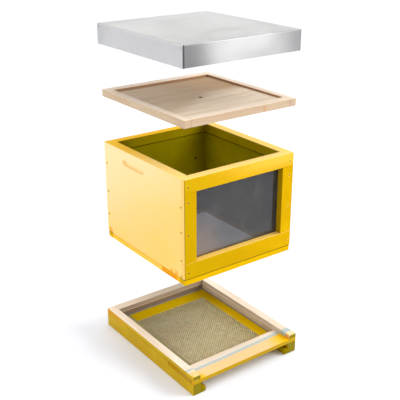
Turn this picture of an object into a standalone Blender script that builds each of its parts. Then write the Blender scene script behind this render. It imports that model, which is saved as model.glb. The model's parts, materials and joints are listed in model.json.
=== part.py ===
"""A wooden beehive with a window, stored with its layers lifted apart.

Four layers stand one above the other: the floor with its landing board and mesh, the hive body,
the crown board and the flat sheet-metal roof. Metres, +Z up, the front with the window faces -Y.
"""

from math import radians

import bmesh
import bpy

GAP = 0.0003  # clearance between two touching pieces
EDGE = 0.001  # chamfer on a board's edges
THIN_EDGE = 0.0005  # the same on a thin board
PAST = 0.004  # how far a cutter reaches beyond the surface it enters
DRILL_SIDES = 16

# The floor, centred on the origin
FLOOR_W = 0.4386
FLOOR_D = 0.537
FLOOR_H = 0.070
FLOOR_BOARD_T = 0.032
STRIP_H = 0.015
STRIP_LEDGE = 0.003
BACK_RAIL_D = 0.037
LANDING_D = 0.0805
NOTCH_D = 0.1425
GUIDE_W = 0.018
GUIDE_H = 0.020
GUIDE_EDGE = 0.002
MESH_RAIL_W = 0.038
MESH_BACK_RAIL_W = 0.055
MESH_RAIL_H = 0.0075
MESH_FRAME_Z = 0.026
MESH_FRONT = -0.200
MESH_T = 0.0012

# The hive body
BODY_Y = 0.010
BODY_W = 0.430
BODY_D = 0.460
BODY_H = 0.345
SIDE_T = 0.033
FRONT_T = 0.031
BACK_T = 0.030
BATTEN_H = 0.020
BATTEN_INSET = 0.0015
LEFT_BATTEN_SPLIT = -0.103
LAP = 0.012  # thickness of the front frame where it covers the ends of the side walls
STILE_W = 0.045
SILL_Z = 0.072
LINTEL_Z = 0.301
PANE_RECESS = 0.022
PANE_T = 0.004
PANE_EDGE = 0.006
KERF = 0.0025
KERF_Z = 0.311
HANDLE_Y = 0.052
HANDLE_Z = 0.304
HANDLE_L = 0.126
HANDLE_H = 0.020
HANDLE_DEPTH = 0.012
HANDLE_ROUND = 0.49  # radius of its ends, as a share of its height
HANDLE_STEPS = 5
VENT_R = 0.003
VENT_X = 0.139
VENT_Z = 0.222

# Nails, sunk a little below the paint
NAIL_HEAD_R = 0.0025
NAIL_SHANK_R = 0.0012
NAIL_HEAD_H = 0.0012
NAIL_SUNK = 0.0012
NAIL_L = 0.042
NAIL_SIDES = 10
FRONT_NAIL_X = 0.2
LAP_NAIL_IN = 0.005  # how far behind the lap the side wall is nailed to the front frame
FRONT_NAIL_Z = (0.318, 0.271, 0.165, 0.040)
WALL_FRONT_NAIL_Z = (0.255, 0.173, 0.080, 0.027)
WALL_BACK_NAIL_Z = (0.273, 0.172, 0.089)
BATTEN_NAIL_Z = 0.010

# The crown board
CROWN_W = 0.426
CROWN_D = 0.460
CROWN_H = 0.024
CROWN_SIDE_RAIL = 0.025
CROWN_END_RAIL = 0.033
PANEL_T = 0.008
PANEL_Z = 0.010
PANEL_TONGUE = 0.006
FEED_HOLE = (-0.006, -0.028, 0.0055)  # x, y and radius
CORNER_HOLE = (0.180, 0.188, 0.0025)

# The roof
ROOF_W = 0.436
ROOF_D = 0.466
ROOF_H = 0.064
SHEET_T = 0.001
FOLD_R = 0.0012
SEAM_IN = 0.004
SEAM_W = 0.0006
RIVET_R = 0.0024
RIVET_SHANK_R = 0.0014
RIVET_H = 0.0009
RIVET_IN = 0.010
RIVET_BELOW_TOP = 0.010

# Height of each layer's underside, lifted apart
BODY_Z = 0.372
CROWN_Z = 0.870
ROOF_Z = 1.041

AXES = {"x": (0.0, radians(90), 0.0), "y": (radians(90), 0.0, 0.0), "z": (0.0, 0.0, 0.0)}


def clear_scene():
    for obj in list(bpy.data.objects):
        bpy.data.objects.remove(obj, do_unlink=True)


def collection(name):
    made = bpy.data.collections.new(name)
    bpy.context.scene.collection.children.link(made)
    return made


def material(name, color, roughness, metallic=0.0, transmission=0.0):
    made = bpy.data.materials.new(name)
    made.use_nodes = True
    shader = made.node_tree.nodes["Principled BSDF"]
    shader.inputs["Base Color"].default_value = (*color, 1.0)
    shader.inputs["Roughness"].default_value = roughness
    shader.inputs["Metallic"].default_value = metallic
    shader.inputs["Transmission Weight"].default_value = transmission
    return made


def layer(name, y, z):
    """The empty that a layer's pieces hang on, at the middle of the layer's underside."""
    empty = bpy.data.objects.new(name, None)
    empty.location = (0.0, y, z)
    PARTS.objects.link(empty)
    return empty


def add(mesh, name, parent, skin=None, group=None):
    obj = bpy.data.objects.new(name, mesh)
    obj.parent = parent
    (group or PARTS).objects.link(obj)
    if skin:
        mesh.materials.append(skin)
    return obj


def box_mesh(name, low, high):
    form = bmesh.new()
    bmesh.ops.create_cube(form, size=1.0)
    size = [b - a for a, b in zip(low, high)]
    middle = [(a + b) / 2 for a, b in zip(low, high)]
    bmesh.ops.scale(form, vec=size, verts=form.verts)
    bmesh.ops.translate(form, vec=middle, verts=form.verts)
    mesh = bpy.data.meshes.new(name)
    form.to_mesh(mesh)
    form.free()
    return mesh


def board(parent, name, skin, low, high, edge=EDGE):
    """A board from its lowest to its highest corner, with chamfered edges."""
    obj = add(box_mesh(name, low, high), name, parent, skin)
    if edge:
        bevel = obj.modifiers.new("chamfer", "BEVEL")
        bevel.width = edge
        bevel.segments = 1
        bevel.limit_method = "ANGLE"
    return obj


def hide_cutter(obj):
    obj.hide_render = True
    obj.display_type = "WIRE"
    return obj


def cut(obj, cutter):
    boolean = obj.modifiers.new(cutter.name, "BOOLEAN")
    boolean.operation = "DIFFERENCE"
    boolean.solver = "EXACT"
    boolean.object = cutter


def cut_box(obj, name, low, high):
    cut(obj, hide_cutter(add(box_mesh(name, low, high), name, obj.parent, group=CUTTERS)))


def drill(obj, name, place, radius, depth, axis):
    """A round hole through a board, centred at a place and running both ways along an axis."""
    form = bmesh.new()
    bmesh.ops.create_cone(
        form, cap_ends=True, segments=DRILL_SIDES, radius1=radius, radius2=radius, depth=2 * depth
    )
    mesh = bpy.data.meshes.new(name)
    form.to_mesh(mesh)
    form.free()
    cutter = hide_cutter(add(mesh, name, obj.parent, group=CUTTERS))
    cutter.location = place
    cutter.rotation_euler = AXES[axis]
    cut(obj, cutter)


def turned(name, profile, parent, steps, skin=None, group=None):
    """A solid of revolution about its own Z, from (radius, height) points listed from the top down."""
    mesh = bpy.data.meshes.new(name)
    points = [(radius, 0.0, height) for radius, height in profile]
    mesh.from_pydata(points, [(i, i + 1) for i in range(len(points) - 1)], [])
    obj = add(mesh, name, parent, skin, group)
    screw = obj.modifiers.new("turn", "SCREW")
    screw.steps = steps
    screw.render_steps = steps
    screw.use_merge_vertices = True
    screw.merge_threshold = 0.0001
    screw.use_smooth_shade = False
    return obj


def headed_pin(name, parent, skin, head_r, shank_r, head_top, head_h, length, steps):
    """A nail or rivet below z = head_top, with its head at the top."""
    neck = head_top - head_h
    profile = [(0, head_top), (head_r, head_top), (head_r, neck), (shank_r, neck)]
    profile += [(shank_r, head_top - length), (0, head_top - length)]
    return turned(name, profile, parent, steps, skin)


def pin_hole(name, parent, head_r, shank_r, neck, end, steps):
    """The hole that clears a headed pin by GAP all round."""
    profile = [(0, PAST), (head_r + GAP, PAST), (head_r + GAP, neck - GAP)]
    profile += [(shank_r + GAP, neck - GAP), (shank_r + GAP, end - GAP), (0, end - GAP)]
    return hide_cutter(turned(name, profile, parent, steps, group=CUTTERS))


def nail(name, place, turn, boards):
    """A sunk nail whose own +Z points out of the surface at a place, through the boards listed."""
    neck = -NAIL_SUNK - NAIL_HEAD_H
    end = -NAIL_SUNK - NAIL_L
    parent = boards[0].parent
    piece = headed_pin(
        name, parent, STEEL, NAIL_HEAD_R, NAIL_SHANK_R, -NAIL_SUNK, NAIL_HEAD_H, NAIL_L, NAIL_SIDES
    )
    hole = pin_hole(name + "_hole", parent, NAIL_HEAD_R, NAIL_SHANK_R, neck, end, NAIL_SIDES)
    for obj in (piece, hole):
        obj.location = place
        obj.rotation_euler = turn
    for obj in boards:
        cut(obj, hole)


def make_floor():
    """Side boards with strips on top, a landing board let into them, tray guides and the mesh frame."""
    base = layer("floor", 0.0, 0.0)
    x = FLOOR_W / 2
    y = FLOOR_D / 2
    inner = x - FLOOR_BOARD_T
    board_top = FLOOR_H - STRIP_H - GAP
    notch_z = board_top - STRIP_H
    back = y - BACK_RAIL_D
    landing_back = LANDING_D - y
    notch_back = NOTCH_D - y
    frame_top = MESH_FRAME_Z + MESH_RAIL_H
    for side, s in (("left", -1), ("right", 1)):

        def piece(name, skin, near, far, y0, y1, z0, z1, edge=EDGE, side=side, s=s):
            """A board on this side, from its near to its far distance from the middle."""
            x0, x1 = sorted((s * near, s * far))
            return board(base, name.format(side), skin, (x0, y0, z0), (x1, y1, z1), edge)

        side_board = piece("floor_{}_side", YELLOW, inner, x, -y, y, 0.0, board_top)
        reach = sorted((s * (inner - PAST), s * (x + PAST)))
        low = (reach[0], -y - PAST, notch_z)
        high = (reach[1], notch_back, board_top + PAST)
        cut_box(side_board, side + "_notch", low, high)
        piece("floor_{}_strip", PINE, inner + STRIP_LEDGE, x, -y, y, board_top + GAP, FLOOR_H)
        piece(
            "{}_notch_block", ORANGE, inner + GAP, x, landing_back + GAP, notch_back - GAP,
            notch_z + GAP, board_top, edge=THIN_EDGE,
        )
        piece("{}_tray_guide", YELLOW, inner - GUIDE_W, inner - GAP, -y, y, 0.0, GUIDE_H, GUIDE_EDGE)
        piece(
            "mesh_frame_{}", YELLOW, inner - GAP - MESH_RAIL_W, inner - GAP,
            MESH_FRONT, y, MESH_FRAME_Z, frame_top, edge=THIN_EDGE,
        )
    span = inner - GAP
    strip_span = inner + STRIP_LEDGE - GAP
    board(base, "landing_board", YELLOW, (-x, -y, notch_z + GAP), (x, landing_back, board_top))
    board(base, "floor_back_rail", PINE, (-span, back, frame_top + GAP), (span, y, board_top))
    low = (-strip_span, back + STRIP_LEDGE, board_top + GAP)
    board(base, "floor_back_strip", PINE, low, (strip_span, y, FLOOR_H))
    rail_end = inner - 2 * GAP - MESH_RAIL_W
    for name, y0, y1 in (
        ("mesh_frame_front", MESH_FRONT, MESH_FRONT + MESH_RAIL_W),
        ("mesh_frame_back", back - MESH_BACK_RAIL_W, y),
    ):
        low = (-rail_end, y0, MESH_FRAME_Z)
        board(base, name, YELLOW, low, (rail_end, y1, frame_top), edge=THIN_EDGE)
    low = (-rail_end, MESH_FRONT + MESH_RAIL_W + GAP, frame_top - 2 * MESH_T)
    high = (rail_end, back - MESH_BACK_RAIL_W - GAP, frame_top - MESH_T)
    board(base, "floor_mesh", WIRE, low, high, edge=0)


def handle_cutter(parent, side, s):
    """A slot with round ends, sunk into the outer face of a side wall."""
    half = (HANDLE_DEPTH, HANDLE_L / 2, HANDLE_H / 2)
    middle = (s * BODY_W / 2, HANDLE_Y, HANDLE_Z)
    low = [m - h for m, h in zip(middle, half)]
    high = [m + h for m, h in zip(middle, half)]
    name = side + "_handle"
    cutter = hide_cutter(add(box_mesh(name, low, high), name, parent, group=CUTTERS))
    form = bmesh.new()
    form.from_mesh(cutter.data)
    along_x = [e for e in form.edges if abs(e.verts[0].co.x - e.verts[1].co.x) > HANDLE_DEPTH]
    radius = HANDLE_H * HANDLE_ROUND
    bmesh.ops.bevel(form, geom=along_x, offset=radius, segments=HANDLE_STEPS, affect="EDGES", profile=0.5)
    form.to_mesh(cutter.data)
    form.free()
    return cutter


def make_walls(base):
    """The two side walls, which run to the back, and the back wall between them."""
    x = BODY_W / 2
    y = BODY_D / 2
    inner = x - SIDE_T
    low_z = BATTEN_H + GAP
    made = {}
    for side, s in (("left", -1), ("right", 1)):
        x0, x1 = sorted((s * inner, s * x))
        name = f"body_{side}_wall"
        wall = board(base, name, YELLOW, (x0, LAP + GAP - y, low_z), (x1, y, BODY_H))
        cut(wall, handle_cutter(base, side, s))
        kerf = sorted((s * (inner - PAST), s * (inner + KERF)))
        low = (kerf[0], FRONT_T - y, KERF_Z)
        high = (kerf[1], y - BACK_T, KERF_Z + KERF)
        cut_box(wall, side + "_kerf", low, high)
        made[side] = wall
    span = inner - GAP
    wall = board(base, "body_back_wall", YELLOW, (-span, y - BACK_T, low_z), (span, y, BODY_H))
    low = (-x, y - BACK_T - PAST, KERF_Z)
    cut_box(wall, "back_kerf", low, (x, y - BACK_T + KERF, KERF_Z + KERF))
    drill(wall, "back_vent", (VENT_X, y, VENT_Z), VENT_R, BACK_T + PAST, "y")
    made["back"] = wall
    return made


def make_window(base):
    """Two full-width rails and two stiles, lapped over the side walls, round a pane held by beads."""
    x = BODY_W / 2
    front = -BODY_D / 2
    inner = x - SIDE_T
    open_x = x - STILE_W
    back = front + FRONT_T
    pane_y = front + PANE_RECESS
    rails = {
        "top": ("window_top_rail", LINTEL_Z, BODY_H),
        "bottom": ("window_bottom_rail", BATTEN_H + GAP, SILL_Z),
    }
    made = {}
    for place, (name, z0, z1) in rails.items():
        rail = board(base, name, YELLOW, (-x, front, z0), (x, back, z1))
        for side, s in (("left", -1), ("right", 1)):
            x0, x1 = sorted((s * (inner - GAP), s * (x + PAST)))
            low = (x0, front + LAP, z0 - PAST)
            cut_box(rail, f"{place}_{side}_lap", low, (x1, back + PAST, z1 + PAST))
        made[place] = rail
    for side, s in (("left", -1), ("right", 1)):
        x0, x1 = sorted((s * open_x, s * x))
        name = f"window_{side}_stile"
        low = (x0, front, SILL_Z + GAP)
        stile = board(base, name, YELLOW, low, (x1, back, LINTEL_Z - GAP))
        x0, x1 = sorted((s * (inner - GAP), s * (x + PAST)))
        cut_box(stile, side + "_lap", (x0, front + LAP, 0.0), (x1, back + PAST, BODY_H))
        made[side] = stile
    rebate_x = open_x + PANE_EDGE
    low = (-rebate_x, pane_y, SILL_Z - PANE_EDGE)
    high = (rebate_x, back + PAST, LINTEL_Z + PANE_EDGE)
    for name, frame_piece in made.items():
        cut_box(frame_piece, name + "_rebate", low, high)
    pane_x = rebate_x - GAP
    z0 = SILL_Z - PANE_EDGE + GAP
    z1 = LINTEL_Z + PANE_EDGE - GAP
    pane_back = pane_y + GAP + PANE_T
    board(base, "window_pane", GLASS, (-pane_x, pane_y + GAP, z0), (pane_x, pane_back, z1), edge=0)
    bead_y = pane_back + GAP
    for side, s in (("left", -1), ("right", 1)):
        x0, x1 = sorted((s * open_x, s * pane_x))
        board(base, f"pane_bead_{side}", YELLOW, (x0, bead_y, z0), (x1, back, z1), edge=THIN_EDGE)
    bead_x = open_x - GAP
    for name, bead_z0, bead_z1 in (
        ("pane_bead_bottom", z0, SILL_Z),
        ("pane_bead_top", LINTEL_Z, z1),
    ):
        low = (-bead_x, bead_y, bead_z0)
        board(base, name, YELLOW, low, (bead_x, back, bead_z1), edge=THIN_EDGE)
    return made


def make_battens(base):
    """A ring of battens under the walls, set in a little so that a shadow line shows."""
    x = BODY_W / 2 - BATTEN_INSET
    y = BODY_D / 2 - BATTEN_INSET
    inner = BODY_W / 2 - SIDE_T
    front = FRONT_T - BODY_D / 2
    back = BODY_D / 2 - BACK_T
    made = board(base, "base_batten_front", YELLOW, (-x, -y, 0), (x, front, BATTEN_H))
    board(base, "base_batten_back", YELLOW, (-x, back, 0), (x, y, BATTEN_H))
    board(
        base, "base_batten_left", YELLOW,
        (-x, LEFT_BATTEN_SPLIT + GAP, 0), (-inner, back - GAP, BATTEN_H),
    )
    board(
        base, "base_batten_left_front", ORANGE,
        (-x, front + GAP, 0), (-inner, LEFT_BATTEN_SPLIT, BATTEN_H),
    )
    board(base, "base_batten_right", YELLOW, (inner, front + GAP, 0), (x, back - GAP, BATTEN_H))
    return made


def make_nails(walls, frame, front_batten):
    x = BODY_W / 2
    y = BODY_D / 2
    out_left = (0.0, radians(-90), 0.0)
    out_front = (radians(90), 0.0, 0.0)
    frame_by_height = (frame["top"], "stile", "stile", frame["bottom"])
    for side, s in (("left", -1), ("right", 1)):
        for i, z in enumerate(FRONT_NAIL_Z):
            outer = frame[side] if frame_by_height[i] == "stile" else frame_by_height[i]
            place = (s * FRONT_NAIL_X, -y, z)
            nail(f"front_nail_{side}_{i + 1}", place, out_front, (outer, walls[side]))
    nail_y = LAP + LAP_NAIL_IN - y
    for i, z in enumerate(WALL_FRONT_NAIL_Z):
        inner = frame["bottom"] if z < SILL_Z else frame["left"]
        nail(f"wall_nail_front_{i + 1}", (-x, nail_y, z), out_left, (walls["left"], inner))
    for i, z in enumerate(WALL_BACK_NAIL_Z):
        place = (-x, y - BACK_T / 2, z)
        nail(f"wall_nail_back_{i + 1}", place, out_left, (walls["left"], walls["back"]))
    place = (BATTEN_INSET - x, nail_y, BATTEN_NAIL_Z)
    nail("batten_nail", place, out_left, (front_batten,))


def make_body():
    base = layer("hive_body", BODY_Y, BODY_Z)
    walls = make_walls(base)
    frame = make_window(base)
    front_batten = make_battens(base)
    make_nails(walls, frame, front_batten)


def make_crown():
    """A rim of four grooved rails round a thin panel, with a feed hole."""
    base = layer("crown_board", BODY_Y, CROWN_Z)
    x = CROWN_W / 2
    y = CROWN_D / 2
    inner_x = x - CROWN_SIDE_RAIL
    inner_y = y - CROWN_END_RAIL
    groove_x = inner_x + PANEL_TONGUE
    groove_y = inner_y + PANEL_TONGUE
    rails = []
    for side, s in (("left", -1), ("right", 1)):
        x0, x1 = sorted((s * inner_x, s * x))
        rails.append(board(base, f"crown_{side}_rail", PINE, (x0, -y, 0), (x1, y, CROWN_H)))
    for end, s in (("front", -1), ("back", 1)):
        y0, y1 = sorted((s * inner_y, s * y))
        low = (GAP - inner_x, y0, 0)
        rails.append(board(base, f"crown_{end}_rail", PINE, low, (inner_x - GAP, y1, CROWN_H)))
    low = (-groove_x, -groove_y, PANEL_Z - GAP)
    high = (groove_x, groove_y, PANEL_Z + PANEL_T + GAP)
    for rail in rails:
        cut_box(rail, rail.name + "_groove", low, high)
    low = (GAP - groove_x, GAP - groove_y, PANEL_Z)
    high = (groove_x - GAP, groove_y - GAP, PANEL_Z + PANEL_T)
    panel = board(base, "crown_panel", PLY, low, high, edge=0)
    for name, (hole_x, hole_y, radius) in (("feed_hole", FEED_HOLE), ("corner_hole", CORNER_HOLE)):
        drill(panel, name, (hole_x, hole_y, PANEL_Z), radius, 2 * PANEL_T, "z")


def open_underside(mesh):
    form = bmesh.new()
    form.from_mesh(mesh)
    under = [face for face in form.faces if face.normal.z < -0.5]
    bmesh.ops.delete(form, geom=under, context="FACES")
    form.to_mesh(mesh)
    form.free()


def make_roof():
    """A folded sheet tray, open below, with a seam beside each corner and a rivet through each."""
    base = layer("roof", BODY_Y, ROOF_Z)
    x = ROOF_W / 2
    y = ROOF_D / 2
    pan = board(base, "roof_pan", SHEET, (-x, -y, 0), (x, y, ROOF_H), edge=FOLD_R)
    open_underside(pan.data)
    pan.modifiers["chamfer"].segments = 2
    sheet = pan.modifiers.new("sheet", "SOLIDIFY")
    sheet.thickness = SHEET_T
    sheet.offset = -1.0
    sheet.use_even_offset = True
    seam_top = ROOF_H - 2 * FOLD_R
    for side, s in (("left", -1), ("right", 1)):
        seam_x = s * (x - SEAM_IN)
        for end, t in (("front", -1), ("back", 1)):
            y0, y1 = sorted((t * (y - PAST), t * (y + PAST)))
            low = (seam_x - SEAM_W / 2, y0, -PAST)
            cut_box(pan, f"seam_{end}_{side}", low, (seam_x + SEAM_W / 2, y1, seam_top))
            name = f"roof_rivet_{end}_{side}"
            place = (s * x, t * (y - RIVET_IN), ROOF_H - RIVET_BELOW_TOP)
            length = RIVET_H + SHEET_T + 2 * GAP
            rivet = headed_pin(
                name, base, SHEET, RIVET_R, RIVET_SHANK_R, RIVET_H + GAP, RIVET_H, length, 12
            )
            rivet.location = place
            rivet.rotation_euler = (0.0, s * radians(90), 0.0)
            drill(pan, name + "_hole", place, RIVET_SHANK_R + GAP, PAST, "x")


clear_scene()
PARTS = collection("beehive")
CUTTERS = collection("cutters")
YELLOW = material("yellow_paint", (0.80, 0.52, 0.02), 0.45)
ORANGE = material("orange_paint", (0.85, 0.35, 0.02), 0.5)
PINE = material("bare_pine", (0.80, 0.62, 0.45), 0.65)
PLY = material("bare_ply", (0.72, 0.55, 0.38), 0.6)
SHEET = material("zinc_sheet", (0.72, 0.73, 0.74), 0.35, metallic=1.0)
STEEL = material("nail_steel", (0.35, 0.33, 0.28), 0.45, metallic=1.0)
WIRE = material("steel_mesh", (0.52, 0.49, 0.38), 0.4, metallic=1.0)
GLASS = material("window_glass", (0.55, 0.56, 0.58), 0.05, transmission=0.8)
make_floor()
make_body()
make_crown()
make_roof()
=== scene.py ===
import json
import math

import bmesh
import bpy
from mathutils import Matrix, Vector


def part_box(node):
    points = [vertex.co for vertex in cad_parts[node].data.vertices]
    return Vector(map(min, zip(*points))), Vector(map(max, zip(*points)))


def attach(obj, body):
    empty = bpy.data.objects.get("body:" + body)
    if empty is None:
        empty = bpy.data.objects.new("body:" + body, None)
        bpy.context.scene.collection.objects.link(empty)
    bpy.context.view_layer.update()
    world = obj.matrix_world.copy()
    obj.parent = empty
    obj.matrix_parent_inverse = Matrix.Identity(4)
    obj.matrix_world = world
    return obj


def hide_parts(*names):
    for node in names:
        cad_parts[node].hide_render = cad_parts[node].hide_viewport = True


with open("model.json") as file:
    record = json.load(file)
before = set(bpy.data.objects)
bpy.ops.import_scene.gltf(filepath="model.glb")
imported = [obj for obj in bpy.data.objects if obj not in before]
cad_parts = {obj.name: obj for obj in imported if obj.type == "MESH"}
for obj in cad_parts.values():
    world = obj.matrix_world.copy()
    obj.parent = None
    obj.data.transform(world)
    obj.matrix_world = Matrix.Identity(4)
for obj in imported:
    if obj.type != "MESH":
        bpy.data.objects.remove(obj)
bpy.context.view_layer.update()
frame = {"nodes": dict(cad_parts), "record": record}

NODES = frame["nodes"]
SLOT_OF = {part["node"]: part["material_slot"] for part in frame["record"]["subparts"]}


def rgb(code):
    """A linear colour from a six-digit sRGB code."""
    parts = [int(code[i : i + 2], 16) / 255 for i in (0, 2, 4)]
    return tuple(c / 12.92 if c <= 0.04045 else ((c + 0.055) / 1.055) ** 2.4 for c in parts)


# Paint on the hive body. A pair is the colour of an even coat and of a thin one.
YELLOW = rgb("F0BE00")
YELLOW_LIGHT = rgb("FFD23C")
# The left wall's pair is a paler copy of the yellow, a painted sheen; the colour after it is paler still, a
# painted highlight towards the back top.
LEFT_WALL_LIT = rgb("FFCE7C"), rgb("FFCC62")
LEFT_WALL_HIGHLIGHT = rgb("FFE2B2")
# The right wall's and the front frame's pairs are darker copies of the yellow: painted shade.
RIGHT_WALL_SHADED = rgb("DCAE04"), rgb("CA9C00")
FRONT_IN_SHADE = rgb("D8AA00"), rgb("C69600")
FRONT_SHADED = rgb("BC9600")
FRONT_CORNER = rgb("6E6000")
FRONT_GLARE = rgb("FFC64C")
# The sill's top face is painted paler: a painted highlight.
SILL_HIGHLIGHT = rgb("FFD470")
# The window reveal is painted dark: painted shade.
REVEAL_SHADE = rgb("8A7004")
LAP_JOINT = rgb("D8A010")
# The left hand hold's recess is painted pale: painted light that fills it.
LEFT_HAND_HOLD_LIT = rgb("FFE8B2")
RIGHT_HAND_HOLD = rgb("E4B410")
# The rims' top faces are painted paler than the walls: painted highlights.
LEFT_RIM_BACK_LIT = rgb("FFCC14")
LEFT_RIM_FRONT_LIT = rgb("FFDC80")
RIGHT_RIM_LIT = rgb("FFDA78")
BACK_RIM_LIT = rgb("FFC814")
FRONT_RIM_LIT = rgb("FFDC84")
# Battens: the left ones a paler copy of the paint as painted light, the others a darker copy as painted
# shade; the joint colour is painted shadow in the gap under the wall.
BATTEN_SHADED = rgb("DEB000"), rgb("CA9C00")
LEFT_BATTEN_LIT = rgb("FFC858"), rgb("FFC030")
LEFT_BATTEN_JOINT_SHADOW = rgb("C89420")
ORANGE = rgb("F2A21A")
ORANGE_DEEP = rgb("DE8A0C")
# Inside faces: the yellow in painted shade, olive, and darker in the corners as painted shade.
INSIDE_SHADED = rgb("948802"), rgb("7C7202")
INSIDE_CORNER_SHADE = rgb("3C3404")
SAW_LINE = rgb("30280A")
# The vent's bore is painted dark: painted shade in the hole.
VENT_SHADE = rgb("181404")
# Dark dirt for joints, holes and steel, also laid as painted shadow in the gap over the battens.
DIRT_AND_SHADE = rgb("6A5210")

# Paint on the floor
FLOOR_DEEP = rgb("BC9400")
FLOOR = rgb("D2AC00"), FLOOR_DEEP
FLOOR_WARM = rgb("DE9A04")
FRONT_SHADE = rgb("867600")
NOTCH = rgb("BC8E04"), rgb("A67C02")
NOTCH_CORNER = rgb("DC9A10")
TIP = rgb("FFDCA8"), rgb("FFC460")
TIP_STREAK = rgb("FFB81C")
RIGHT_TIP = rgb("FFE2B4")
# The right tip's inner face is painted deeper orange: the paint in painted shade.
RIGHT_TIP_INNER_SHADE = rgb("D89006")
# The landing board's edges take a darker copy of the paint: painted shade.
LANDING_EDGE_SHADED = rgb("BE9800"), rgb("A68200")
LANDING_BACK = rgb("F8CE98")
LANDING_FRONT = rgb("FFCE96")
LANDING_STREAK = rgb("FFCC62")
LANDING_RIGHT = rgb("FFC400")
LANDING_LEFT = rgb("FFC61E")
MESH_RAIL = rgb("D0A803"), rgb("B89203")
# The right rail's pair is a lighter copy, painted light; the back rail's a darker copy, painted shade; then
# painted shade for the back right corner and for the left rail's inner edge.
RIGHT_MESH_RAIL_LIT = rgb("E6BC00"), rgb("D2A800")
BACK_MESH_RAIL_SHADED = rgb("B89800"), rgb("A48400")
MESH_RAIL_CORNER_SHADE = rgb("967600")
MESH_RAIL_INNER_SHADE = rgb("948A62")
CHALK = rgb("A4BEC0")

# Bare wood
PINE = rgb("F4E6D4")
PINE_DEEP = rgb("E0C4A4")
PINE_DARK = rgb("B08E6C")
PINE_TINT = rgb("DACEC6")
PINE_SHADED = rgb("A49684")
# A painted highlight on the back rail's ledge.
BACK_LEDGE_HIGHLIGHT = rgb("C4AC92")
# Pine in deeper painted shade, for the back's inward faces.
BACK_PINE_DEEP_SHADE = rgb("6C5A4A")
# Pine in painted shade, for faces that look inwards.
INWARD_PINE_SHADE = rgb("B8A48E"), rgb("937F6C")
FOOT_LINE = rgb("8A8A90")
BACK_FOOT_LINE = rgb("7C7E88")
CROWN_RAIL = rgb("CAB294"), rgb("B8997A")
# The crown rails' tops are a paler copy of the wood: a painted highlight.
CROWN_TOP_LIT = rgb("FFEEDA"), rgb("F0D4B4")
PLY = rgb("FFEBD2"), rgb("E2C4A2")
PLY_SHADED = rgb("B48A58")
# Painted shadow at the foot of the crown's back and right rails, and painted shade in the panel's holes.
PLY_FOOT_SHADOW = rgb("8E6238")
PLY_HOLE_SHADE = rgb("2A1C12")
# Resin brown for a knot, also laid on the crown rails' inner faces as painted shade.
RESIN_AND_SHADE = rgb("C98A5A")

# Metal and the pane. A wire's pair is a painted highlight where it lies on top of the weave and painted shade
# where it dips below; the weft wires' pair is a darker copy, as painted shade.
WARP_HIGHLIGHT_AND_SHADE = rgb("FFFBE0"), rgb("D8C47C")
WEFT_HIGHLIGHT_AND_SHADE = rgb("E2CE88"), rgb("948240")
WIRE_SPECKLE = rgb("8E7C38")
WIRE_RUST = rgb("D8A85C")
WIRE_SHADED = rgb("5E5228")
ZINC = rgb("9E9D9C")
ZINC_DULL = rgb("908F8E")
# Painted shade at the ends of the roof's front skirt.
ZINC_END_SHADE = rgb("3E3E3E")
# A painted highlight along the roof's folds.
ZINC_FOLD_HIGHLIGHT = rgb("F0F0F0")
ZINC_SEAM = rgb("0C0C0C")
STEEL = rgb("4A4436")
PANE = rgb("343438")
# Grey for dust on the pane, also laid towards its bottom edge as painted light.
PANE_DUST_AND_LIGHT = rgb("5C5A5C")
# A brownish patch of painted light in the pane's lower left.
PANE_LIGHT_PATCH = rgb("8C7058")

# How the surfaces take the light
PAINT_SPECULAR = 0.015
WOOD_SPECULAR = 0.10
ZINC_METALLIC = 0.6
WIRE_METALLIC = 0.1
PANE_ALPHA = 0.74

# Where one look ends and the next begins: metres at rest, each a little inside the face it picks out
BODY_SIDE_X = 0.215
BODY_LAP_X = 0.2142
BODY_CORNER_X = 0.2126
BODY_INNER_X = 0.1855
BODY_INNER_Y = (-0.1922, 0.2135)
BODY_FRONT_Y = -0.2195
BODY_LAP_Y = -0.2066
BODY_RIM_Z = 0.7162
SAW_LINE_Z = (0.6826, 0.6858)
OVER_SAW_LINE_Z = (0.684, 0.690)
HAND_HOLD_X = (0.2015, 0.2143)
HAND_HOLD_Y = (-0.002, 0.126)
HAND_HOLD_Z = (0.6655, 0.6865)
REVEAL_X = 0.1706
SILL_TOP_Z = 0.4432
BATTEN_TOP_Z = 0.3894
FLOOR_SIDE_X = 0.2187
LANDING_END_X = 0.2180
LEDGE_X = 0.2000
STRIP_INNER_X = 0.1909
FLOOR_INNER_X = 0.1877
FLOOR_FRONT_Y = -0.2679
FLOOR_BACK_Y = 0.2679
BACK_STRIP_Y = 0.2351
NOTCH_END_Y = -0.1286
STRIP_TOP_Z = 0.0694
LEDGE_Z = 0.0541
BOARD_TOP_Z = 0.0540
SIDE_SEAM_Z = 0.0534
FOOT_LINE_Z = 0.0375
MESH_RAIL_TOP_Z = 0.0335
MESH_RAIL_X = 0.1850
MESH_RAIL_Y = 0.2285
MESH_RAIL_INNER_X = -0.1700
CROWN_INNER_X = 0.1885
CROWN_INNER_Y = (-0.1872, 0.2072)
CROWN_TOP_Z = 0.8934
ROOF_SIDE_X = 0.2164
ROOF_EDGE_Y = -0.2214
ROOF_FRONT_Y = -0.2222
ROOF_TOP_Z = 1.1026
ROOF_SEAM_X = (-0.2160, -0.2125)

# Where the paint on the floor's front ends and its chalk line run, as y
STRIP_PAINT_Y = -0.2420
STRIP_CHALK_Y = (-0.2320, -0.2230)
RIGHT_STRIP_PAINT_Y = -0.2480
RIGHT_STRIP_CHALK_Y = (-0.2470, -0.2220)
STREAKS_Y = -0.2540
LANDING_PAINT_Y = -0.2235
LANDING_CHALK_Y = (-0.2250, -0.2105)

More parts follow.
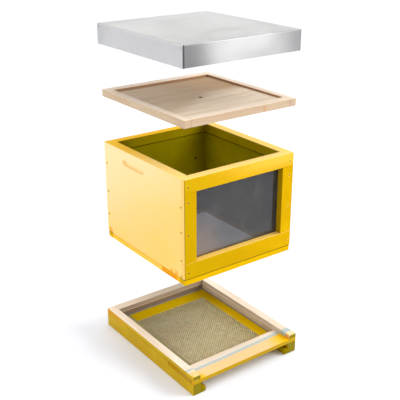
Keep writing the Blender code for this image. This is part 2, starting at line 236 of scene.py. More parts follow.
# Spots: x, y, z, radius, and over how much they fade
VENT_BORE = ((0.139, 0.225, 0.594, 0.0135, 0.0010), (0.139, 0.210, 0.594, 0.0036, 0.0010))
CROWN_KNOT = (0.085, -0.220, 0.880, 0.003, 0.009)
PANEL_HOLES = ((-0.006, -0.018, 0.888, 0.0060, 0.0015), (0.180, 0.198, 0.888, 0.003, 0.0015))
LANDING_PATCH = (-0.185, -0.262, 0.0547, 0.006, 0.022)
# Where the pane's patch of painted light lies.
PANE_LIGHT_SPOT = (-0.19, -0.1977, 0.43, 0.05, 0.14)
VENT_OUTSIDE = (0.139, 0.240, 0.594)
WALL_PATCHES = ((0.222, 0.402, 0.008), (0.214, 0.395, 0.006), (-0.176, 0.398, 0.007), (-0.150, 0.396, 0.005))
WALL_PATCH_FADE = 0.006

# The wire mesh, and the nail heads as rings: radius, and how far out of the wall
WIRE_PITCH = 0.0052
WIRE_RADIUS = 0.0011
WIRE_SIDES = 4
WIRE_LIFT = 0.7
WIRE_INTO_FRAME = 0.002
NAIL_SIDES = 12
NAIL_RINGS = ((0.0025, -0.0006), (0.0016, -0.0002))

# The camera and the surround
CAMERA_PLACE = (-1.3855, -1.8811, 1.4849)
CAMERA_DOWN = 22.177
CAMERA_TURN = 36.469
CAMERA_LENS = 68.05
SENSOR_WIDTH = 36.0
WORLD_STRENGTH = 0.47
GROUND_HALF = 400.0
GROUND_COLOUR = (0.90, 0.93, 1.0)
GROUND_ROUGHNESS = 0.9


class Look:
    """A procedural material under construction: short names for its nodes and links."""

    def __init__(self, name):
        self.material = bpy.data.materials.new(name)
        self.material.use_nodes = True
        self.nodes = self.material.node_tree.nodes
        self.links = self.material.node_tree.links
        self.shader = self.nodes["Principled BSDF"]
        self.place = self.nodes.new("ShaderNodeTexCoord").outputs["Object"]
        split = self.nodes.new("ShaderNodeSeparateXYZ")
        self.links.new(self.place, split.inputs[0])
        self.x, self.y, self.z = split.outputs
        self.across = self.math("ABSOLUTE", self.x)

    def add(self, kind, **settings):
        node = self.nodes.new(kind)
        for name, value in settings.items():
            setattr(node, name, value)
        return node

    def feed(self, socket, value):
        if isinstance(value, bpy.types.NodeSocket):
            self.links.new(value, socket)
        elif isinstance(value, tuple) and socket.type == "RGBA":
            socket.default_value = (*value, 1.0)
        else:
            socket.default_value = value

    def set(self, name, value):
        self.feed(self.shader.inputs[name], value)

    def math(self, operation, a, b=0.0):
        node = self.add("ShaderNodeMath", operation=operation)
        self.feed(node.inputs[0], a)
        self.feed(node.inputs[1], b)
        return node.outputs[0]

    def plus(self, a, b):
        return self.math("ADD", a, b)

    def minus(self, a, b):
        return self.math("SUBTRACT", a, b)

    def times(self, a, b):
        return self.math("MULTIPLY", a, b)

    def either(self, a, b):
        return self.math("MAXIMUM", a, b)

    def mix(self, share, a, b):
        node = self.add("ShaderNodeMix", data_type="RGBA")
        self.feed(node.inputs["Factor"], share)
        self.feed(node.inputs[6], a)
        self.feed(node.inputs[7], b)
        return node.outputs[2]

    def cover(self, colour, mask, coat, share):
        """The colour under a coat of another, which takes that share where the mask is 1."""
        return self.mix(self.times(mask, share), colour, coat)

    def ramp(self, value, low, high, to_low=0.0, to_high=1.0):
        """Maps low..high to to_low..to_high, eased and clamped. low may be above high."""
        if low > high:
            low, high, to_low, to_high = high, low, to_high, to_low
        node = self.add("ShaderNodeMapRange", interpolation_type="SMOOTHSTEP")
        for socket, number in zip(node.inputs, (value, low, high, to_low, to_high)):
            self.feed(socket, number)
        return node.outputs[0]

    def above(self, value, edge, soft=0.0003):
        return self.ramp(value, edge - soft, edge + soft)

    def below(self, value, edge, soft=0.0003):
        return self.ramp(value, edge + soft, edge - soft)

    def band(self, value, shaded_edges, soft=0.0003):
        low, high = shaded_edges
        return self.times(self.above(value, low, soft), self.below(value, high, soft))

    def spot(self, x, y, z, radius, soft):
        """1 within radius of a point, falling to 0 over soft."""
        node = self.add("ShaderNodeVectorMath", operation="DISTANCE")
        self.feed(node.inputs[0], self.place)
        node.inputs[1].default_value = (x, y, z)
        return self.ramp(node.outputs["Value"], radius + soft, radius)

    def noise(self, scale, detail=3.0, roughness=0.5, distortion=0.0, stretch=(1, 1, 1), shift=0.0):
        mapping = self.add("ShaderNodeMapping")
        self.feed(mapping.inputs["Vector"], self.place)
        mapping.inputs["Scale"].default_value = stretch
        mapping.inputs["Location"].default_value = (shift, shift * 1.7, shift * 0.6)
        node = self.add("ShaderNodeTexNoise")
        self.feed(node.inputs["Vector"], mapping.outputs[0])
        pairs = (("Scale", scale), ("Detail", detail), ("Roughness", roughness), ("Distortion", distortion))
        for name, value in pairs:
            node.inputs[name].default_value = value
        return node.outputs[0]

    def wobble(self, value, size, scale, shift):
        """A coordinate with noise of that size added, for an edge that isn't straight."""
        return self.plus(value, self.times(self.minus(self.noise(scale, shift=shift), 0.5), size))

    def bump(self, height, distance):
        node = self.add("ShaderNodeBump")
        self.feed(node.inputs["Height"], height)
        node.inputs["Distance"].default_value = distance
        self.set("Normal", node.outputs[0])


def cover_node(name, material):
    slots = NODES[name].data.materials
    slots.clear()
    slots.append(material)


def long_axis(node):
    low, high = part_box(node)
    sides = [b - a for a, b in zip(low, high)]
    return "XYZ"[sides.index(max(sides))]


def seed_of(name):
    """A number from the name, so that each board has a grain of its own."""
    return sum(ord(letter) * (i + 3) for i, letter in enumerate(name)) % 97 / 9.0


def grain(look, along, seed):
    """(fibres, rings) of planed softwood whose grain runs along an axis, both from 0 to 1."""
    fine = [1.0, 1.0, 1.0]
    broad = [1.0, 1.0, 1.0]
    fine["XYZ".index(along)] = 0.04
    broad["XYZ".index(along)] = 0.09
    fibres = look.noise(520.0, detail=4.0, roughness=0.62, distortion=0.3, stretch=tuple(fine), shift=seed)
    rings = look.noise(46.0, roughness=0.55, distortion=1.1, stretch=tuple(broad), shift=seed)
    return fibres, look.ramp(rings, 0.38, 0.64)


class Board:
    """A wooden piece's material: its grain, and paint that covers all of it or part."""

    def __init__(self, node, along=None):
        self.look = Look("look_" + node)
        self.node = node
        self.seed = seed_of(node)
        self.fibres, self.rings = grain(self.look, along or long_axis(node), self.seed)
        self.cloud = self.look.noise(7.0, roughness=0.6, shift=self.seed)

    def wood(self, light, deep, contrast=0.6):
        look = self.look
        colour = look.mix(look.times(self.rings, contrast), light, deep)
        return look.mix(look.ramp(self.fibres, 0.42, 0.78, to_high=0.35), colour, deep)

    def paint(self, light, deep, contrast=0.5):
        """Paint over the grain: it lies unevenly, and the grain shows a little."""
        look = self.look
        uneven = look.ramp(self.cloud, 0.36, 0.68, to_high=contrast)
        share = look.plus(uneven, look.times(self.rings, contrast * 0.35))
        share = look.plus(share, look.ramp(self.fibres, 0.45, 0.80, to_high=contrast * 0.4))
        return look.mix(look.math("MINIMUM", share, 1.0), light, deep)

    def finish(self, colour, painted=1.0):
        """painted is 1 where paint covers the wood and 0 where it is bare."""
        look = self.look
        look.set("Base Color", colour)
        gloss = look.ramp(self.fibres, 0.3, 0.8, 0.40, 0.52)
        if painted == 1.0:
            look.set("Roughness", gloss)
            look.set("Specular IOR Level", PAINT_SPECULAR)
        else:
            bare = look.ramp(self.fibres, 0.3, 0.8, 0.58, 0.74)
            look.set("Roughness", look.minus(bare, look.times(look.minus(bare, gloss), painted)))
            look.set("Specular IOR Level", WOOD_SPECULAR)
        look.bump(self.fibres, distance=0.0003)
        cover_node(self.node, look.material)


def centre_of(node):
    low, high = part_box(node)
    return tuple((a + b) / 2 for a, b in zip(low, high))


def nail_heads(prefix, axis):
    """Where the named nails' heads are, as points on the surface they enter along that axis."""
    spots = []
    for name in NODES:
        if name.startswith(prefix):
            spot = list(centre_of(name))
            spot[axis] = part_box(name)[0][axis]
            spots.append(tuple(spot))
    return spots


def nail_marks(board, colour, spots):
    """The lighter filler round sunk nails, and the dark hole that each leaves in the paint."""
    look = board.look
    light = dark = None
    for spot in spots:
        wide = look.spot(*spot, radius=0.0045, soft=0.003)
        hole = look.spot(*spot, radius=0.0026, soft=0.0012)
        light = wide if light is None else look.either(light, wide)
        dark = hole if dark is None else look.either(dark, hole)
    colour = look.cover(colour, light, YELLOW_LIGHT, share=0.55)
    return look.cover(colour, dark, DIRT_AND_SHADE, share=0.85)


def paint_inside(board, colour):
    """Olive on the faces that look into the hive body, the yellow in painted shade: a little lighter over the
    saw line as painted light, darker in the corners as painted shade.
    """
    look = board.look
    inner = look.times(look.below(look.across, BODY_INNER_X, 0.0004), look.band(look.y, BODY_INNER_Y, 0.0004))
    shaded_inside = board.paint(*INSIDE_SHADED)
    shaded_inside = look.mix(look.ramp(look.z, *OVER_SAW_LINE_Z, to_high=0.10), shaded_inside, YELLOW)
    corner = look.ramp(look.plus(look.across, look.y), 0.31, 0.392, to_high=0.5)
    shaded_inside = look.mix(corner, shaded_inside, INSIDE_CORNER_SHADE)
    shaded_inside = look.cover(shaded_inside, look.band(look.z, SAW_LINE_Z), SAW_LINE, share=0.6)
    return look.mix(inner, colour, shaded_inside)


# The top face of a rim takes a paler coat: a painted highlight.
def paint_lit_rim(look, colour, coat):
    return look.cover(colour, look.above(look.z, BODY_RIM_Z, 0.0004), coat, share=0.95)


def dress_side_wall(name):
    left = name == "body_left_wall"
    side = -1 if left else 1
    board = Board(name)
    look = board.look
    if left:
        # Painted sheen: a paler copy of the paint, paler still towards the back top as a painted highlight.
        colour = board.paint(*LEFT_WALL_LIT, contrast=0.45)
        height = look.ramp(look.plus(look.z, look.times(look.y, 0.55)), 0.42, 0.80)
        colour = look.cover(colour, height, LEFT_WALL_HIGHLIGHT, share=0.75)
        lit_rim = look.mix(look.ramp(look.y, 0.16, -0.10), LEFT_RIM_BACK_LIT, LEFT_RIM_FRONT_LIT)
    else:
        # Painted shade: a darker copy of the paint on the right wall.
        colour = board.paint(*RIGHT_WALL_SHADED)
        lit_rim = RIGHT_RIM_LIT
    colour = nail_marks(board, colour, [(-side * x, y, z) for x, y, z in nail_heads("wall_nail", axis=0)])
    for y, z, radius in WALL_PATCHES:
        patch = look.spot(side * BODY_SIDE_X, y, z, radius, WALL_PATCH_FADE)
        colour = look.cover(colour, patch, ORANGE, share=0.7)
    colour = look.cover(colour, look.below(look.y, BODY_LAP_Y, 0.0005), LAP_JOINT, share=0.75)
    hold = look.times(look.band(look.y, HAND_HOLD_Y, 0.0004), look.band(look.z, HAND_HOLD_Z, 0.0004))
    hold = look.times(hold, look.band(look.across, HAND_HOLD_X, 0.0004))
    # On the left wall the hand hold's recess is painted pale: painted light that fills it.
    colour = look.cover(colour, hold, LEFT_HAND_HOLD_LIT if left else RIGHT_HAND_HOLD, share=0.9)
    board.finish(paint_lit_rim(look, paint_inside(board, colour), lit_rim))


def dress_back_wall():
    board = Board("body_back_wall")
    look = board.look
    colour = nail_marks(board, board.paint(YELLOW_LIGHT, YELLOW), [VENT_OUTSIDE])
    colour = paint_lit_rim(look, paint_inside(board, colour), BACK_RIM_LIT)
    # Painted shade: the vent's bore painted dark.
    bore_shade = look.either(*(look.spot(*part) for part in VENT_BORE))
    board.finish(look.cover(colour, bore_shade, VENT_SHADE, share=0.9))


def dress_window_frame():
    heads = nail_heads("front_nail", axis=1)
    for name in ("window_top_rail", "window_bottom_rail", "window_left_stile", "window_right_stile"):
        board = Board(name)
        look = board.look
        # Painted shade: the frame's paint is a darker copy of the yellow.
        colour = nail_marks(board, board.paint(*FRONT_IN_SHADE), heads)
        # The frame's end on the left face takes the left wall's paler copy: painted sheen.
        lap = look.below(look.x, -BODY_LAP_X, 0.0004)
        colour = paint_inside(board, look.cover(colour, lap, LEFT_WALL_LIT[0], share=0.9))
        if name == "window_top_rail":
            glare = look.times(look.ramp(look.z, 0.660, 0.712), look.ramp(look.x, -0.12, 0.16, 0.15, 0.75))
            mottle = look.noise(16.0, roughness=0.6, distortion=0.8, stretch=(0.25, 1.0, 1.0), shift=5.0)
            glare = look.times(glare, look.ramp(mottle, 0.30, 0.60, to_low=0.35))
            colour = paint_lit_rim(look, look.mix(glare, colour, FRONT_GLARE), FRONT_RIM_LIT)
        if name == "window_bottom_rail":
            # Painted highlight: the sill's top face painted paler.
            colour = look.cover(colour, look.above(look.z, SILL_TOP_Z, 0.0004), SILL_HIGHLIGHT, share=0.85)
        if name == "window_right_stile":
            # Painted shade: the reveal of the window opening painted dark.
            colour = look.cover(colour, look.below(look.x, REVEAL_X), REVEAL_SHADE, share=0.7)
        shade = look.ramp(look.plus(look.x, look.times(look.z, 0.6)), 0.46, 0.10, to_high=0.7)
        face = look.below(look.y, BODY_FRONT_Y)
        colour = look.mix(look.times(shade, face), colour, FRONT_SHADED)
        corner = look.times(face, look.below(look.x, -BODY_CORNER_X, 0.0005))
        board.finish(look.cover(colour, corner, FRONT_CORNER, share=0.85))


def dress_batten(name):
    board = Board(name)
    look = board.look
    # Painted shadow in the gap under the wall, along the top of the battens' outer faces; the left battens
    # take a paler copy of the paint as painted light, the others a darker copy as painted shade.
    joint_shadow = look.above(look.z, BATTEN_TOP_Z, 0.0006)
    if "left" not in name:
        board.finish(look.cover(board.paint(*BATTEN_SHADED), joint_shadow, DIRT_AND_SHADE, share=0.9))
        return
    if name == "base_batten_left_front":
        colour = board.paint(ORANGE, ORANGE_DEEP)
        colour = look.mix(look.ramp(look.y, -0.165, -0.195, to_high=0.6), colour, YELLOW_LIGHT)
    else:
        colour = board.paint(*LEFT_BATTEN_LIT)
    colour = nail_marks(board, colour, nail_heads("batten_nail", axis=0))
    board.finish(look.cover(colour, joint_shadow, LEFT_BATTEN_JOINT_SHADOW, share=0.6))


def dress_body():
    dress_side_wall("body_left_wall")
    dress_side_wall("body_right_wall")
    dress_back_wall()
    dress_window_frame()
    for name in NODES:
        if name.startswith("pane_bead"):
            board = Board(name)
            # The beads take the inside's olive: the yellow in painted shade.
            board.finish(board.paint(*INSIDE_SHADED))
        elif name.startswith("base_batten"):
            dress_batten(name)


def bare_strip(board):
    """A strip's or the back rail's bare wood: pale on top and outside, grey where it looks inwards as pine in
    painted shade; on the back ones the top takes painted shadow towards the right, and the back rail's ledge
    a painted highlight.
    """
    name = board.node
    look = board.look
    bare = board.wood(PINE, PINE_DEEP, contrast=0.45)
    inward_shade = board.wood(*INWARD_PINE_SHADE)
    shown = look.above(look.across, STRIP_INNER_X, 0.0005)
    if "back" in name:
        shown = look.above(look.y, BACK_STRIP_Y, 0.0005)
        inward_shade = look.mix(0.2 if "strip" in name else 0.8, inward_shade, BACK_PINE_DEEP_SHADE)
        bare = look.mix(look.ramp(look.x, -0.21, 0.02, 0.2, 0.85), bare, PINE_SHADED)
    if name == "floor_right_strip":
        # The right strip's inward face is lighter: painted light.
        inward_shade = look.mix(0.5, inward_shade, PINE)
    bare = look.mix(look.either(shown, look.above(look.z, STRIP_TOP_Z)), inward_shade, bare)
    if name == "floor_back_rail":
        bare = look.mix(look.above(look.z, LEDGE_Z), bare, BACK_LEDGE_HIGHLIGHT)
        bare = look.mix(look.below(look.z, FOOT_LINE_Z, 0.0008), bare, BACK_FOOT_LINE)
    return bare


def dress_strip(name):
    """Bare wood with a chalk line and a painted tip, yellow on the outside and across the end."""
    right = name == "floor_right_strip"
    board = Board(name)
    look = board.look
    bare = bare_strip(board)
    edge = look.wobble(look.y, size=0.006, scale=60.0, shift=board.seed)
    if right:
        tip = look.below(edge, RIGHT_STRIP_PAINT_Y, 0.0040)
        chalk = look.band(edge, RIGHT_STRIP_CHALK_Y, 0.0070)
    else:
        tip = look.below(edge, STRIP_PAINT_Y, 0.0040)
        chalk = look.band(edge, STRIP_CHALK_Y, 0.0040)
    streaks = look.noise(300.0, detail=2.0, stretch=(1.0, 0.08, 1.0), shift=board.seed)
    streaks = look.times(look.ramp(streaks, 0.50, 0.60), look.below(look.y, STREAKS_Y, 0.0050))
    front = look.mix(streaks, board.paint(*TIP, contrast=0.6), TIP_STREAK)
    if right:
        front = look.mix(0.7, front, RIGHT_TIP)
        inner = look.below(look.across, STRIP_INNER_X, 0.0005)
        inner = look.times(inner, look.ramp(look.y, -0.262, -0.248, to_low=0.6))
        # Painted shade: deeper orange on the right tip's inner face towards the front.
        front = look.mix(inner, front, RIGHT_TIP_INNER_SHADE)
    outer = look.above(look.across, FLOOR_SIDE_X)
    if "back" in name:
        outer = look.either(outer, look.above(look.y, FLOOR_BACK_Y))
    end = look.below(look.y, FLOOR_FRONT_Y)
    yellow = look.mix(look.ramp(look.y, 0.08, 0.25, to_high=0.85), board.paint(*FLOOR), FLOOR_WARM)
    yellow = look.mix(end, yellow, FRONT_SHADE)
    colour = look.mix(tip, look.cover(bare, chalk, CHALK, share=0.85), front)
    painted = look.either(outer, end)
    board.finish(look.mix(painted, colour, yellow), look.either(painted, tip))


def side_ledge(look):
    """1 on the narrow ledge of a side board that its strip leaves free."""
    return look.times(look.above(look.z, LEDGE_Z), look.below(look.across, LEDGE_X))


def dress_side_board(name):
    board = Board(name)
    look = board.look
    colour = look.mix(look.below(look.y, FLOOR_FRONT_Y), board.paint(*FLOOR), FRONT_SHADE)
    seam = look.times(look.above(look.z, SIDE_SEAM_Z, 0.0005), look.below(look.y, 0.12, 0.04))
    seam = look.times(seam, look.above(look.across, FLOOR_SIDE_X))
    colour = look.cover(colour, seam, DIRT_AND_SHADE, share=0.8)
    colour = look.mix(side_ledge(look), colour, PINE)
    warm = look.times(look.ramp(look.y, 0.12, 0.26), look.ramp(look.z, 0.035, 0.055))
    colour = look.cover(colour, warm, FLOOR_WARM, share=0.5)
    # Inward faces: pine in painted shade, lighter on the right board as painted light.
    inward_shade = board.wood(*INWARD_PINE_SHADE)
    if name == "floor_right_side":
        inward_shade = look.mix(0.35, inward_shade, PINE)
    inward_shade = look.mix(look.below(look.z, FOOT_LINE_Z, 0.0008), inward_shade, FOOT_LINE)
    inner = look.times(look.below(look.across, FLOOR_INNER_X), look.above(look.z, MESH_RAIL_TOP_Z, 0.0004))
    inner = look.times(inner, look.below(look.z, LEDGE_Z))
    board.finish(look.mix(inner, colour, inward_shade), look.minus(1.0, inner))


def dress_notch_block(name):
    board = Board(name)
    look = board.look
    colour = board.paint(*NOTCH)
    colour = look.cover(colour, look.above(look.y, NOTCH_END_Y, 0.0005), DIRT_AND_SHADE, share=0.9)
    colour = look.cover(colour, look.above(look.z, BOARD_TOP_Z, 0.0004), DIRT_AND_SHADE, share=0.7)
    # Inward faces: pine in painted shade.
    inward_shade = look.mix(0.35, board.wood(*INWARD_PINE_SHADE), PINE)
    colour = look.mix(look.below(look.across, FLOOR_INNER_X), colour, inward_shade)
    board.finish(look.mix(side_ledge(look), colour, PINE))


def dress_landing_board():
    """Bare wood at the back, then a chalk line, then thin paint that is stronger in the front corners."""
    board = Board("landing_board")
    look = board.look
    slant = look.plus(look.wobble(look.y, size=0.007, scale=9.0, shift=2.0), look.times(look.x, -0.022))
    bare = look.mix(0.25, board.wood(PINE, PINE_DEEP, contrast=0.4), PINE_TINT)
    colour = look.cover(bare, look.band(slant, LANDING_CHALK_Y, 0.0050), CHALK, share=0.8)
    front = look.mix(look.ramp(slant, -0.231, -0.258), LANDING_BACK, LANDING_FRONT)
    front = look.mix(look.ramp(board.fibres, 0.42, 0.70, to_high=0.4), front, LANDING_STREAK)
    right = look.ramp(look.plus(look.x, look.times(look.y, -0.3)), 0.17, 0.25)
    front = look.mix(right, front, LANDING_RIGHT)
    front = look.mix(look.spot(*LANDING_PATCH), front, LANDING_LEFT)
    painted = look.below(slant, LANDING_PAINT_Y, 0.003)
    colour = look.mix(painted, colour, front)
    # Painted shade: the faces below the landing board's top take a darker copy of the paint.
    shaded_edges = look.either(look.below(look.y, FLOOR_FRONT_Y), look.below(look.z, BOARD_TOP_Z))
    colour = look.mix(shaded_edges, colour, board.paint(*LANDING_EDGE_SHADED))
    end_paint = look.mix(look.ramp(look.y, -0.255, -0.268), board.paint(*NOTCH), NOTCH_CORNER)
    colour = look.mix(look.above(look.across, LANDING_END_X), colour, end_paint)
    board.finish(colour, look.either(shaded_edges, painted))


def dress_tray_guide(name):
    board = Board(name)
    look = board.look
    front = look.below(look.y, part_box(name)[0][1] + 0.001)
    board.finish(look.mix(front, board.paint(FLOOR_DEEP, FRONT_SHADE), FRONT_SHADE))


def dress_mesh_rail(name):
    """A rail of the frame round the mesh: a lighter copy on the right as painted light, a darker copy at the
    back and darker in the back right corner as painted shade, grey along the boards round it, and grey-olive
    along the left rail's inner edge as painted shade.
    """
    board = Board(name)
    look = board.look
    if name == "mesh_frame_right":
        colour = board.paint(*RIGHT_MESH_RAIL_LIT)
        colour = look.mix(look.ramp(look.y, 0.02, 0.20, to_high=0.85), colour, MESH_RAIL_CORNER_SHADE)
    elif name == "mesh_frame_back":
        colour = board.paint(*BACK_MESH_RAIL_SHADED)
        colour = look.mix(look.ramp(look.x, 0.02, 0.16, to_high=0.7), colour, MESH_RAIL_CORNER_SHADE)
    else:
        colour = board.paint(*MESH_RAIL)
    edge = look.either(look.above(look.across, MESH_RAIL_X, 0.0015), look.above(look.y, MESH_RAIL_Y, 0.0015))
    colour = look.cover(colour, edge, FOOT_LINE, share=0.75)
    if name == "mesh_frame_left":
        colour = look.mix(look.above(look.x, MESH_RAIL_INNER_X, 0.0006), colour, MESH_RAIL_INNER_SHADE)
    board.finish(colour)


def dress_floor():
    for name in ("floor_left_strip", "floor_right_strip", "floor_back_strip", "floor_back_rail"):
        dress_strip(name)
    for name in ("floor_left_side", "floor_right_side"):
        dress_side_board(name)
    for name in ("left_notch_block", "right_notch_block"):
        dress_notch_block(name)
    dress_landing_board()
    for name in ("left_tray_guide", "right_tray_guide"):
        dress_tray_guide(name)
    for name in ("mesh_frame_front", "mesh_frame_back", "mesh_frame_left", "mesh_frame_right"):
        dress_mesh_rail(name)


def dress_crown_rail(name):
    board = Board(name)
    look = board.look
    colour = board.wood(*CROWN_RAIL, contrast=0.5)
    if name == "crown_front_rail":
        colour = look.cover(colour, look.spot(*CROWN_KNOT), RESIN_AND_SHADE, share=0.5)
    inner = look.below(look.across, CROWN_INNER_X, 0.0004)
    inner = look.times(inner, look.band(look.y, CROWN_INNER_Y, 0.0004))
    # Painted shade: the inner faces take the resin brown.
    colour = look.cover(colour, inner, RESIN_AND_SHADE, share=0.7)
    # Painted highlight: the tops are a paler copy of the wood.
    lit_top = board.wood(*CROWN_TOP_LIT, contrast=0.5)
    board.finish(look.mix(look.above(look.z, CROWN_TOP_Z), colour, lit_top), painted=0.0)


def dress_crown_panel():
    """Striped veneer, with painted shadow darker towards the back and along the foot of the back and right
    rails, and the holes painted dark as painted shade.
    """
    board = Board("crown_panel", along="X")
    look = board.look
    colour = board.wood(*PLY, contrast=0.4)
    stripe = look.noise(14.0, detail=4.0, roughness=0.6, distortion=1.5, stretch=(0.10, 1.0, 1.0), shift=3.1)
    colour = look.mix(look.ramp(stripe, 0.50, 0.62, to_high=0.14), colour, PINE_DARK)
    far_shadow = look.ramp(look.minus(look.y, look.times(look.x, 0.6)), -0.06, 0.02)
    far_shadow = look.either(far_shadow, look.ramp(look.y, -0.03, 0.05))
    far_shadow = look.times(far_shadow, look.ramp(look.x, -0.16, 0.16, 0.35, 0.75))
    colour = look.mix(far_shadow, colour, PLY_SHADED)
    foot_shadow = look.either(look.ramp(look.y, 0.184, 0.194), look.ramp(look.x, 0.181, 0.187))
    colour = look.cover(colour, foot_shadow, PLY_FOOT_SHADOW, share=0.6)
    hole_shade = look.either(*(look.spot(*hole) for hole in PANEL_HOLES))
    board.finish(look.cover(colour, hole_shade, PLY_HOLE_SHADE, share=0.9), painted=0.0)


def dress_crown():
    for name in ("crown_left_rail", "crown_right_rail", "crown_front_rail", "crown_back_rail"):
        dress_crown_rail(name)
    dress_crown_panel()


def zinc(name):
    """Galvanised sheet: fine spangle, faint rolling lines, dull smears, painted shade at the ends of the
    front skirt, pale folds as a painted highlight, and a dark seam.
    """
    look = Look(name)
    look.set("Metallic", ZINC_METALLIC)
    spangle = look.add("ShaderNodeTexVoronoi")
    look.feed(spangle.inputs["Vector"], look.place)
    spangle.inputs["Scale"].default_value = 160.0
    smear = look.noise(5.0, detail=4.0, roughness=0.6, distortion=0.6)
    lines = look.noise(260.0, detail=2.0, stretch=(1.0, 0.05, 1.0))
    share = look.plus(look.times(spangle.outputs["Distance"], 0.35), look.ramp(smear, 0.4, 0.7, to_high=0.35))
    colour = look.mix(look.math("MINIMUM", share, 1.0), ZINC, ZINC_DULL)
    front = look.below(look.y, ROOF_FRONT_Y)
    left_end_shade = look.ramp(look.x, -0.08, -0.20, to_high=0.62)
    right_end_shade = look.ramp(look.x, 0.12, 0.22, to_high=0.3)
    colour = look.mix(look.times(front, look.plus(left_end_shade, right_end_shade)), colour, ZINC_END_SHADE)
    edge = look.either(look.above(look.across, ROOF_SIDE_X, 0.0005), look.below(look.y, ROOF_EDGE_Y, 0.0005))
    fold_highlight = look.times(look.above(look.z, ROOF_TOP_Z, 0.0005), edge)
    colour = look.cover(colour, fold_highlight, ZINC_FOLD_HIGHLIGHT, share=0.35)
    seam = look.times(front, look.band(look.x, ROOF_SEAM_X, 0.0004))
    look.set("Base Color", look.cover(colour, seam, ZINC_SEAM, share=0.9))
    look.set("Roughness", look.plus(look.ramp(smear, 0.35, 0.7, 0.27, 0.31), look.times(lines, 0.03)))
    dents = look.noise(3.2, detail=2.0, roughness=0.4)
    look.bump(look.plus(dents, look.times(lines, 0.02)), distance=0.0002)
    return look.material


def wire(name, level, crest_highlight, hollow_shade):
    """Weathered wire: a painted highlight where it is on top of the weave, painted shade below, and painted
    shadow darker to the back and the left.
    """
    look = Look(name)
    look.set("Metallic", WIRE_METALLIC)
    colour = look.mix(look.ramp(look.z, level + 0.0002, level + 0.0013), hollow_shade, crest_highlight)
    speckle = look.noise(80.0, detail=2.0, roughness=0.7, shift=3.0)
    colour = look.mix(look.ramp(speckle, 0.48, 0.58, to_high=0.35), colour, WIRE_SPECKLE)
    rust = look.noise(28.0, roughness=0.6, shift=7.0)
    colour = look.mix(look.ramp(rust, 0.50, 0.70, to_high=0.35), colour, WIRE_RUST)
    far_shadow = look.ramp(look.minus(look.y, look.times(look.x, 0.5)), -0.12, 0.20, to_high=0.5)
    look.set("Base Color", look.mix(far_shadow, colour, WIRE_SHADED))
    look.set("Roughness", look.ramp(look.noise(240.0, roughness=0.6), 0.3, 0.7, 0.4, 0.6))
    return look.material


def steel(name, metallic):
    look = Look(name)
    look.set("Metallic", metallic)
    spots = look.noise(240.0, roughness=0.6)
    look.set("Base Color", look.mix(look.ramp(spots, 0.35, 0.65), STEEL, DIRT_AND_SHADE))
    look.set("Roughness", look.ramp(spots, 0.3, 0.7, 0.35, 0.6))
    look.bump(spots, distance=0.0001)
    return look.material


def smoked_glass():
    """A thin tinted pane that shows the dark inside of the hive, with a little dust on it, lighter towards
    the bottom edge as painted light, and a brownish patch of painted light in the lower left.
    """
    look = Look("smoked_pane")
    dust = look.noise(24.0, detail=5.0, roughness=0.7, distortion=0.4)
    low_edge_light = look.ramp(look.z, 0.50, 0.44, to_high=0.4)
    share = look.plus(look.ramp(dust, 0.45, 0.75, to_high=0.5), low_edge_light)
    colour = look.mix(share, PANE, PANE_DUST_AND_LIGHT)
    look.set("Base Color", look.cover(colour, look.spot(*PANE_LIGHT_SPOT), PANE_LIGHT_PATCH, share=0.6))
    look.set("Roughness", look.ramp(dust, 0.4, 0.8, 0.05, 0.16))
    look.set("Alpha", PANE_ALPHA)
    look.bump(look.noise(2.5, detail=1.0, roughness=0.3), distance=0.0004)
    return look.material


def dress_rest():
    sheet = zinc("zinc_sheet_look")
    nail = steel("nail_look", metallic=0.5)
    for name, slot in SLOT_OF.items():
        if slot == "zinc_sheet":
            cover_node(name, sheet)
        elif slot == "nail_steel":
            cover_node(name, nail)
        elif slot == "window_glass":
            cover_node(name, smoked_glass())


def link(name, data):
    made = bpy.data.objects.new(name, data)
    bpy.context.scene.collection.objects.link(made)
    return made


def mesh_object(name, form, materials):
    mesh = bpy.data.meshes.new(name)
    form.to_mesh(mesh)
    form.free()
    for material in materials:
        mesh.materials.append(material)
    return link(name, mesh)


def new_piece(name, form, materials, body):
    bmesh.ops.recalc_face_normals(form, faces=form.faces)
    piece = mesh_object(name, form, materials)
    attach(piece, body)
    return piece


def woven_wires(form, along, low, high, level):
    """Wires side by side along one axis, each rising and dipping in turn over the ones across it."""
    across = 1 - along
    count = int((high[across] - low[across]) / WIRE_PITCH)
    first = (low[across] + high[across] - count * WIRE_PITCH) / 2
    steps = int((high[along] - low[along]) / WIRE_PITCH)
    start = (low[along] + high[along] - steps * WIRE_PITCH) / 2
    for i in range(count + 1):
        rings = []
        for k in range(steps + 2):
            run = min(max(start + (k - 0.5) * WIRE_PITCH, low[along]), high[along])
            lift = WIRE_RADIUS * WIRE_LIFT * (1 if (i + k + along) % 2 else -1)
            ring = []
            for corner in range(WIRE_SIDES):
                turn = math.tau * corner / WIRE_SIDES
                point = [0.0, 0.0, level + lift + WIRE_RADIUS * math.sin(turn)]
                point[along] = run
                point[across] = first + i * WIRE_PITCH + WIRE_RADIUS * math.cos(turn)
                ring.append(form.verts.new(point))
            rings.append(ring)
        for a, b in zip(rings, rings[1:]):
            for corner in range(WIRE_SIDES):
                after = (corner + 1) % WIRE_SIDES
                side = form.faces.new((a[corner], a[after], b[after], b[corner]))
                side.material_index = along
        form.faces.new(rings[0][::-1])
        form.faces.new(rings[-1])


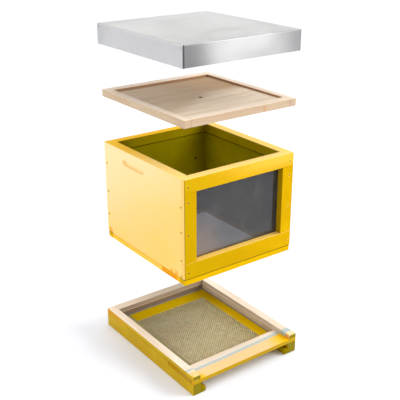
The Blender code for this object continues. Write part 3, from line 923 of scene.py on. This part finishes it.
def wire_mesh():
    """Woven wire in place of the CAD's plain plate, let a little into the frame round it."""
    low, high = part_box("floor_mesh")
    level = (low[2] + high[2]) / 2
    low = [low[0] - WIRE_INTO_FRAME, low[1] - WIRE_INTO_FRAME]
    high = [high[0] + WIRE_INTO_FRAME, high[1] + WIRE_INTO_FRAME]
    form = bmesh.new()
    for along in (0, 1):
        woven_wires(form, along, low, high, level)
    looks = [wire("warp_wire", level, *WARP_HIGHLIGHT_AND_SHADE), wire("weft_wire", level, *WEFT_HIGHLIGHT_AND_SHADE)]
    piece = new_piece("woven_wire_mesh", form, looks, "floor")
    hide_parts("floor_mesh")


def right_wall_nails():
    """The right wall's sunk nail heads, opposite those in the left wall."""
    form = bmesh.new()
    for x, y, z in nail_heads("wall_nail", axis=0):
        for radius, out in NAIL_RINGS:
            made = bmesh.ops.create_circle(form, cap_ends=True, radius=radius, segments=NAIL_SIDES)
            for vert in made["verts"]:
                flat = vert.co.copy()
                vert.co = Vector((-x + out, y + flat.x, z + flat.y))
    new_piece("right_wall_nail_heads", form, [steel("nail_head", metallic=0.6)], "hive_body")


def camera():
    data = bpy.data.cameras.new("camera")
    data.lens = CAMERA_LENS
    data.sensor_width = SENSOR_WIDTH
    made = link("camera", data)
    made.location = CAMERA_PLACE
    made.rotation_euler = (math.radians(90 - CAMERA_DOWN), 0.0, math.radians(-CAMERA_TURN))
    bpy.context.scene.camera = made


def link_light(name, data, place, target):
    made = link(name, data)
    made.location = place
    made.rotation_euler = (Vector(target) - Vector(place)).to_track_quat("-Z", "Y").to_euler()
    made.visible_camera = False
    return made


def softbox(name, place, target, width, height, radiance):
    """An area light given by the brightness of its face."""
    lamp = bpy.data.lights.new(name, "AREA")
    lamp.shape = "RECTANGLE"
    lamp.size = width
    lamp.size_y = height
    lamp.energy = radiance * math.pi * width * height
    link_light(name, lamp, place, target)


def sun(name, place, spread, strength):
    lamp = bpy.data.lights.new(name, "SUN")
    lamp.energy = strength
    lamp.angle = math.radians(spread)
    return link_light(name, lamp, place, target=(0, 0, 0))


def studio():
    """A plain white surround, and a pale ground that reaches the horizon."""
    bpy.context.scene.view_settings.view_transform = "Standard"
    world = bpy.data.worlds.new("studio")
    world.use_nodes = True
    background = world.node_tree.nodes["Background"]
    background.inputs["Color"].default_value = (1.0, 1.0, 1.0, 1.0)
    background.inputs["Strength"].default_value = WORLD_STRENGTH
    bpy.context.scene.world = world
    form = bmesh.new()
    bmesh.ops.create_grid(form, x_segments=1, y_segments=1, size=GROUND_HALF)
    look = Look("ground")
    look.set("Base Color", GROUND_COLOUR)
    look.set("Roughness", GROUND_ROUGHNESS)
    ground = mesh_object("ground", form, [look.material])


def lights():
    main = sun("sun", place=(1.7, -1.0, 1.1), spread=40, strength=2.5)
    main.visible_glossy = False  # the roof would mirror it, all white, when seen from behind
    sun("top_light", place=(0.1, 0.15, 1.0), spread=50, strength=0.9)
    softbox("hot_spot", (1.28, -1.87, 0.80), (0.1, -0.2, 1.07), width=0.34, height=0.38, radiance=9.8)
    softbox("front_fill", (-0.6, -3.6, 1.6), (0, 0, 0.6), width=1.8, height=1.4, radiance=0.8)
    softbox("back_right", (2.5, 2.8, 1.65), (0, 0, 1.0), width=3.2, height=1.6, radiance=1.35)
    softbox("back_left", (-1.55, 1.65, 0.65), (-0.2, 0, 0.9), width=1.4, height=0.8, radiance=1.35)
    softbox("left_fill", (-2.75, -0.9, 2.2), (0, 0, 0.6), width=1.8, height=1.8, radiance=3.2)


camera()
studio()
lights()
dress_body()
dress_floor()
dress_crown()
dress_rest()
wire_mesh()
right_wall_nails()
